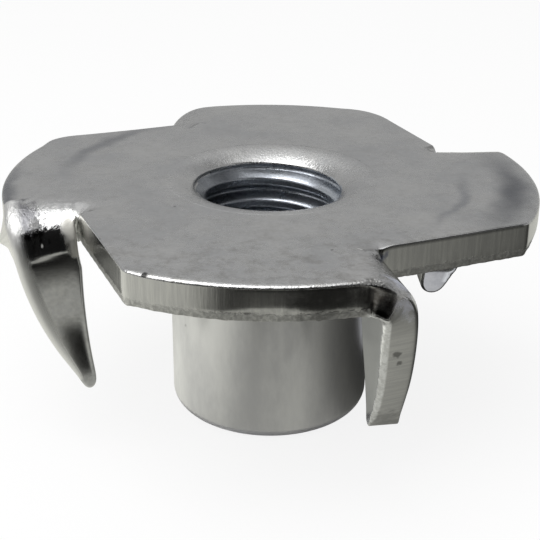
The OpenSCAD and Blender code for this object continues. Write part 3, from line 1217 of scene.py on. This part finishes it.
# %% [markdown]
# ## Sheared walls
#
# The rim, the cuts and the prongs' edges were sheared by the punch. It leaves fine lines straight through
# the sheet, and below them a torn grey band with grit in it. The corner beside the front prong holds a brown
# stain, with painted shadow low in its recess and painted dark reflection on the rim beside it; painted
# shade sits in the dimple at the lance's end, and that prong's edge has two pits. Painted highlights lie on
# the bend's edge and along the burr, and a painted shade line lies along the right lobe's cut.
# The lines come from clouds that are squashed along the sheet's thickness: a wave texture
# would be more regular than any real punch.

# %% Sheared walls: the rim, the cuts and the prongs' edges
sheared, tree, shader, place, tint = finish("zinc_sheared", (0.52, 0.52, 0.51), (0.62, 0.62, 0.60))
strokes = use_group(tree, lines, place, Scale=9.0)["Shade"]
torn = use_group(tree, torn_zone, place, Line=0.22)
tree.links.new(strokes, tint.inputs["Factor"])
holes = use_group(tree, pits, place, Scale=1.6, Share=0.16, Size=0.14)["Mask"]
coloured = darken(tree, tint.outputs["Result"], holes, 0.6)
torn_here = reckon(tree, "MULTIPLY", torn["Mask"], stored(tree, "torn"))
gritty = reckon(tree, "MULTIPLY", torn_here, ramp(tree, torn["Grit"], 0.62, 0.42))
coloured = darken(tree, coloured, gritty, 0.3)
# Stains and painted shade near the front prong and the right one: a brown stain in the corner, painted dark
# reflection on the front rim, painted shadow low in the corner's recess, painted shade in the dimple at the
# lance's end, and two pits on the prong's edge. Each has a place, radius, softness, strength and tint
stains_and_shade = [
    ((1.75, -8.25, 7.42), 0.58, 1.0, 0.66, (0.07, 0.02, 0.0)),
    ((0.35, -8.45, 7.45), 1.5, 0.9, 0.55, (0, 0, 0)),
    ((1.85, -8.3, 7.05), 0.5, 0.8, 0.88, (0, 0, 0)),
    ((2.2, -6.1, 7.55), 0.32, 0.6, 0.7, (0.0, 0.03, 0.16)),
    ((3.86, -8.0, 7.28), 0.17, 0.5, 0.6, (0, 0, 0)),
    ((4.24, -8.0, 7.37), 0.17, 0.5, 0.6, (0, 0, 0)),
]
for where, radius, soft, strength, spot_tint in stains_and_shade:
    coloured = darken(tree, coloured, spot_mask(tree, place, where, radius, soft), strength, spot_tint)
# A painted bluish-white highlight on the front right bend's edge, which is made rougher too
bluish_highlight = spot_mask(tree, place, (2.42, -8.15, 7.60), 0.50, 0.9)
coloured = repaint(tree, coloured, bluish_highlight, (0.90, 0.91, 1.0))
tip_stain = spot_mask(tree, place, (6.95, -6.4, 7.3), 0.9, 0.8)
coloured = darken(tree, coloured, tip_stain, 0.4)
# A painted near-white highlight in specks along the burr rows
patchy = ramp(tree, clouds(tree, place, 6.0, 3.0, 0.7), 0.38, 0.60, 0.45, 0.9)
speckled_highlight = reckon(tree, "MULTIPLY", stored(tree, "burr_highlight"), patchy)
coloured = repaint(tree, coloured, speckled_highlight, (0.97, 0.98, 0.98))
# Painted shade line along the right lobe's cut
coloured = darken(tree, coloured, stored(tree, "roll_shade"), 0.7)
tree.links.new(coloured, shader.inputs["Base Color"])
wall_rough = ramp(tree, torn_here, 0.0, 1.0, 0.17, 0.40)
wall_rough = reckon(tree, "MAXIMUM", wall_rough, reckon(tree, "MULTIPLY", bluish_highlight, 0.55))
tree.links.new(wall_rough, shader.inputs["Roughness"])
grit_height = reckon(tree, "MULTIPLY", torn["Grit"], torn_here)
tree.links.new(bump(tree, grit_height, 0.010, bump(tree, strokes, 0.0009)), shader.inputs["Normal"])
print("finish:", sheared.name, "with", len(stains_and_shade) + 1, "stains_and_shade")

# %% [markdown]
# ## Drawn barrel
#
# A barrel that is drawn through a die comes out smooth, with faint streaks along the draw
# and long soft waves. The same clouds and punch lines serve here, stretched along the axis
# and much shallower, so the barrel stays brighter and calmer than the sheared walls.

# %% Drawn barrel
drawn, tree, shader, place, tint = finish("zinc_drawn", (0.52, 0.52, 0.53), (0.66, 0.66, 0.66))
along_the_draw = stretched(tree, place, (1, 1, 0.35))
shade = use_group(tree, cloudy, along_the_draw, Scale=0.6, **{"Fine share": 0.2})["Shade"]
tree.links.new(shade, tint.inputs["Factor"])
holes = use_group(tree, pits, place, Scale=1.4, Share=0.12, Size=0.14)["Mask"]
tree.links.new(darken(tree, tint.outputs["Result"], holes, 0.4), shader.inputs["Base Color"])
tree.links.new(ramp(tree, shade, 0.0, 1.0, 0.36, 0.28), shader.inputs["Roughness"])
strokes = use_group(tree, lines, place, Scale=8.0)["Shade"]
waves = clouds(tree, place, 0.5, 2.0, 0.5)
tree.links.new(bump(tree, waves, 0.02, bump(tree, strokes, 0.0006)), shader.inputs["Normal"])
print("finish:", drawn.name)

# %% [markdown]
# ## Tapped thread
#
# The tap cuts the thread after the draw. The thread gets a darker and bluer zinc than the rest, and its left
# side is darker still: painted shade for the side that mirrors the dark right of the studio.

# %% Tapped thread
tapped, tree, shader, place, tint = finish("zinc_tapped", (0.33, 0.35, 0.39), (0.62, 0.66, 0.71))
shade = use_group(tree, cloudy, place, Scale=1.2, **{"Fine share": 0.4})["Shade"]
tree.links.new(shade, tint.inputs["Factor"])
# Painted shade: the thread is darker towards its left side
left_side_shade = ramp(tree, axes_of(tree, place)["X"], -1.6, 0.8, 1.0, 0.0)
tree.links.new(darken(tree, tint.outputs["Result"], left_side_shade, 0.50), shader.inputs["Base Color"])
tree.links.new(ramp(tree, shade, 0.0, 1.0, 0.36, 0.26), shader.inputs["Roughness"])
tree.links.new(bump(tree, clouds(tree, place, 5.0, 3.0, 0.6), 0.006), shader.inputs["Normal"])
print("finish:", tapped.name)

# %% [markdown]
# ## Plate the nut
#
# Each face already knows which part of the nut it is on, and that number picks its material. The nut rides
# on the root body. It stands for the CAD node tee_nut, which stays behind it, hidden.

# %% Put the finishes on the nut
for made in (skin, sheared, drawn, tapped):
    mesh.materials.append(made)
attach(nut, "root")
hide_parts("tee_nut")
print("the nut has", len(mesh.materials), "finishes")

# %% [markdown]
# ## A studio for bright metal
#
# Polished metal shows its surroundings, so its looks are made by what stands round it. The
# nut stands on a large white floor under one softbox, high on the left, with a plain grey
# sky. More lamps would only wash it out. Instead it gets cards, as studios use for shiny
# things: a shaded paper under it, a black card in front, a light one behind and a small
# one before the right prong's tip. The cards show in reflections only.

# %% White floor
floor_width = 2.0
# How much of what the camera sees of the floor is plain white, whatever light falls on it
white_share = 0.86
bpy.ops.mesh.primitive_plane_add(size=floor_width, location=(0, 0, 0))
floor = bpy.context.object
floor.name = "floor"
floor_paint = bpy.data.materials.new("floor_white")
floor_paint.use_nodes = True
tree = floor_paint.node_tree
floor_shader = tree.nodes["Principled BSDF"]
floor_shader.inputs["Base Color"].default_value = (0.93, 0.93, 0.93, 1)
floor_shader.inputs["Roughness"].default_value = 0.9
floor_shader.inputs["Specular IOR Level"].default_value = 0.0
glow = add_node(tree, "Emission", Strength=1.0)
glow.inputs["Color"].default_value = (1, 1, 1, 1)
rays = tree.nodes.new("ShaderNodeLightPath")
seen = reckon(tree, "MAXIMUM", rays.outputs["Is Camera Ray"], rays.outputs["Is Transmission Ray"])
blend = tree.nodes.new("ShaderNodeMixShader")
tree.links.new(reckon(tree, "MULTIPLY", seen, white_share), blend.inputs["Fac"])
tree.links.new(floor_shader.outputs[0], blend.inputs[1])
tree.links.new(glow.outputs[0], blend.inputs[2])
tree.links.new(blend.outputs[0], tree.nodes["Material Output"].inputs["Surface"])
floor.data.materials.append(floor_paint)
print("floor:", floor_width, "m wide")

# %% Sky: grey near the horizon and brighter overhead
world = bpy.data.worlds.new("studio")
bpy.context.scene.world = world
world.use_nodes = True
tree = world.node_tree
sky = tree.nodes["Background"]
direction = tree.nodes.new("ShaderNodeTexCoord").outputs["Generated"]
# This is 0 at the horizon and 1 straight overhead
upwards = axes_of(tree, direction)["Z"]
low_sky = ramp(tree, upwards, 0.45, 0.68, 0.425, 0.22)
overhead = ramp(tree, upwards, 0.80, 0.96, 0.0, 0.9)
glowing_band = ramp(tree, upwards, 0.41, 0.50, 0.0, 0.17)
glowing_band = reckon(tree, "MULTIPLY", glowing_band, ramp(tree, upwards, 0.66, 0.54))
brightness = reckon(tree, "ADD", reckon(tree, "ADD", low_sky, overhead), glowing_band)
rays = tree.nodes.new("ShaderNodeLightPath")
shown = reckon(tree, "MAXIMUM", brightness, rays.outputs["Is Camera Ray"])
tree.links.new(shown, sky.inputs["Strength"])
sky.inputs["Color"].default_value = (1, 1, 1, 1)
print("sky:", world.name)

# %% Helpers for cards that only reflections show
# How far to the left of straight in front the camera stands. The cards turn with it
camera_turn = 0.1362


def card(name, rings_of_points, shades, tint=(1, 1, 1), closed=False):
    """A glowing card made of rings of points, each with a shade from black 0 to white 1"""
    made = bpy.data.meshes.new(name)
    long = len(rings_of_points[0])
    columns = long if closed else long - 1
    quads = []
    for i in range(len(rings_of_points) - 1):
        for j in range(columns):
            k = (j + 1) % long
            quads.append((i * long + j, i * long + k, (i + 1) * long + k, (i + 1) * long + j))
    made.from_pydata([tuple(v * MM for v in p) for ring in rings_of_points for p in ring], [], quads)
    shade_of = made.attributes.new("card_shade", "FLOAT", "POINT")
    shade_of.data.foreach_set("value", np.array(shades, float).ravel())
    paint = bpy.data.materials.new(name)
    paint.use_nodes = True
    tree = paint.node_tree
    tree.nodes.remove(tree.nodes["Principled BSDF"])
    glow = tree.nodes.new("ShaderNodeEmission")
    glow.inputs["Color"].default_value = (*tint, 1)
    tree.links.new(stored(tree, "card_shade"), glow.inputs["Strength"])
    tree.links.new(glow.outputs[0], tree.nodes["Material Output"].inputs["Surface"])
    made.materials.append(paint)
    placed = bpy.data.objects.new(name, made)
    bpy.context.scene.collection.objects.link(placed)
    placed.visible_camera = False
    placed.visible_diffuse = False
    placed.visible_shadow = False
    print("card:", name, "with", len(quads), "faces")


def round_the_nut(radius, up, degrees):
    """A point beside the nut; 0 degrees faces the camera and the right is positive"""
    turn = math.radians(degrees) - camera_turn
    return (radius * math.sin(turn), -radius * math.cos(turn), up)


def between(value, low, high):
    """0 up to low, 1 from high on, and a smooth step in between"""
    return smooth(np.clip((value - low) / (high - low), 0, 1))


print("the cards are turned", round(math.degrees(camera_turn), 1), "degrees with the camera")

# %% Front card: upright before the camera, and nearly black
front_degrees = np.linspace(-42, 48, 25)
front_black = 0.008
front_rings = [[round_the_nut(r, z, a) for a in front_degrees] for r, z in ((120, 0), (80, 128))]
card("card_front", front_rings, np.full((2, len(front_degrees)), front_black))

# %% Paper under the nut: light on the left, dark on the right and nearly black in front
paper_degrees = [-180, -155, -130, -106, -85, -62, -42, -20, 28, 45, 60, 85, 110, 140, 180]
paper_shades = [0.30, 0.50, 0.85, 1.00, 0.92, 0.86, 0.66, 0.49, 0.45, 0.30, 0.13, 0.05, 0.02, 0.03, 0.30]
paper_radii = np.concatenate([np.linspace(3.4, 30, 54), [32, 36, 44, 52, 55, 58, 61, 64, 116]])
around = np.linspace(-180, 180, 361)[:-1]
paper_up = 0.03
far_right_shade = 0.62
# A black sheet lies on the front of the paper. It begins at these distances from the nut
sheet_degrees = [-12, -6, 4, 12, 26, 38]
sheet_starts = [15.5, 20.5, 20.5, 15.0, 16.0, 23.0]


def black_sheet(radius):
    """How much of a ring of the paper the black sheet in front hides"""
    near_edge = np.interp(around, sheet_degrees, sheet_starts)
    front = between(radius - near_edge, 0, 2.5) * (1 - between(radius, 54, 63))
    front = front * between(around, -28, -13) * (1 - between(around, 34, 46))
    deep = np.interp(radius, [22, 32], [0.90, 0.97])
    return deep * front


def black_strip(ring):
    """A narrow black strip on the paper, which the left prong mirrors"""
    x = np.array([p[0] for p in ring])
    y = np.array([p[1] for p in ring])
    along_strip = (-y - 9.9) / 4.7
    off_strip = np.abs(x + 4.50 - 0.77 * along_strip) - (0.50 + 0.32 * along_strip)
    strip = (1 - between(off_strip, -0.1, 0.3)) * between(along_strip, -0.13, -0.02)
    return 0.98 * (strip * (1 - between(along_strip, 1.0, 1.3)))


paper_rings = []
paper_shade = []
for radius in paper_radii:
    ring = [round_the_nut(radius, paper_up, a) for a in around]
    shade = np.interp(around, paper_degrees, paper_shades)
    # The paper turns light again beyond the nut on the right
    far_right = between(around, 92, 118) * (1 - between(around, 165, 180)) * between(radius, 16, 20)
    shade = shade * (1 - far_right) + far_right_shade * far_right
    shade = shade * (1 - black_sheet(radius))
    paper_shade.append(shade * (1 - black_strip(ring)))
    paper_rings.append(ring)
card("card_paper", paper_rings, paper_shade, tint=(1.0, 1.0, 0.93), closed=True)

# %% Back card: a second light, high behind on the left, that fades out at its edges
back_count = 21
back_degrees = np.linspace(-206, -128, back_count)
back_heights = ((100, 84), (92, 94), (62, 118), (54, 124))
back_rings = [[round_the_nut(r, z, a) for a in back_degrees] for r, z in back_heights]
from_edge = np.minimum(np.arange(back_count), np.arange(back_count)[::-1])
fade = np.clip(from_edge / 7, 0, 1)
edge_shade = np.full(back_count, 0.25)
middle_shade = 0.25 + 0.65 * fade
card("card_back", back_rings, [edge_shade, middle_shade, middle_shade, edge_shade])

# %% Tip card: small and light, before the right prong's tip
tip_rings = [[(x, 1.3, z) for x in (5.9, 7.3, 8.6)] for z in (0.1, 2.7)]
tip_shades = [0.70, 0.62, 0.20]
card("card_tip", tip_rings, [tip_shades, tip_shades], tint=(0.94, 0.95, 1.0))

# %% [markdown]
# ## Camera and light
#
# The camera looks down at the nut from close by, through a lens of about 80 mm. A Track To
# constraint could turn it to the nut, but then its roll couldn't be set. So its three
# directions are worked out here and put into its matrix. The softbox is an area lamp seven
# times as wide as the nut, because a small lamp would burn hard spots into the metal.

# %% Camera
# Tilt and roll are in radians, and the distance and the aim are in millimetres
camera_tilt = 0.4161
camera_away = 39.849
camera_roll = 0.0087
aim_side = -0.0089
aim_up = 4.6126
# The lens's length in pixels, for a picture as many pixels wide as picture_px
lens_px = 1195.9
picture_px = 540
sensor_mm = 36
forward = Vector((
    math.sin(camera_turn) * math.cos(camera_tilt),
    math.cos(camera_turn) * math.cos(camera_tilt),
    -math.sin(camera_tilt),
))
right = Vector((math.cos(camera_turn), -math.sin(camera_turn), 0))
up = right.cross(forward)
aim = right * aim_side + Vector((0, 0, aim_up))
rolled_right = math.cos(camera_roll) * right + math.sin(camera_roll) * up
rolled_up = -math.sin(camera_roll) * right + math.cos(camera_roll) * up
place = Matrix((rolled_right, rolled_up, -forward)).transposed().to_4x4()
place.translation = (aim - forward * camera_away) * MM
camera_data = bpy.data.cameras.new("camera")
camera_data.sensor_width = sensor_mm
camera_data.lens = sensor_mm * lens_px / picture_px
camera_data.clip_start = 0.001
camera = bpy.data.objects.new("camera", camera_data)
bpy.context.scene.collection.objects.link(camera)
camera.matrix_world = place
bpy.context.scene.camera = camera
bpy.context.scene.view_settings.view_transform = "Standard"
print("camera:", round(camera_away, 1), "mm away, lens", round(camera_data.lens, 1), "mm")

# %% Light
softbox_width = 0.12
softbox_place = (-0.05, -0.035, 0.12)
softbox_aim = Vector((0, 0, 0.005))
softbox_watts = 0.14
lamp_data = bpy.data.lights.new("softbox", "AREA")
lamp_data.shape = "RECTANGLE"
lamp_data.size = softbox_width
lamp_data.size_y = softbox_width
lamp_data.energy = softbox_watts
lamp = bpy.data.objects.new("softbox", lamp_data)
bpy.context.scene.collection.objects.link(lamp)
lamp.location = softbox_place
lamp.rotation_euler = (softbox_aim - lamp.location).to_track_quat("-Z", "Y").to_euler()
print("light:", lamp.name, softbox_width, "m wide")

# %% [markdown]
# ## Finish

# %% Update the scene
bpy.context.view_layer.update()
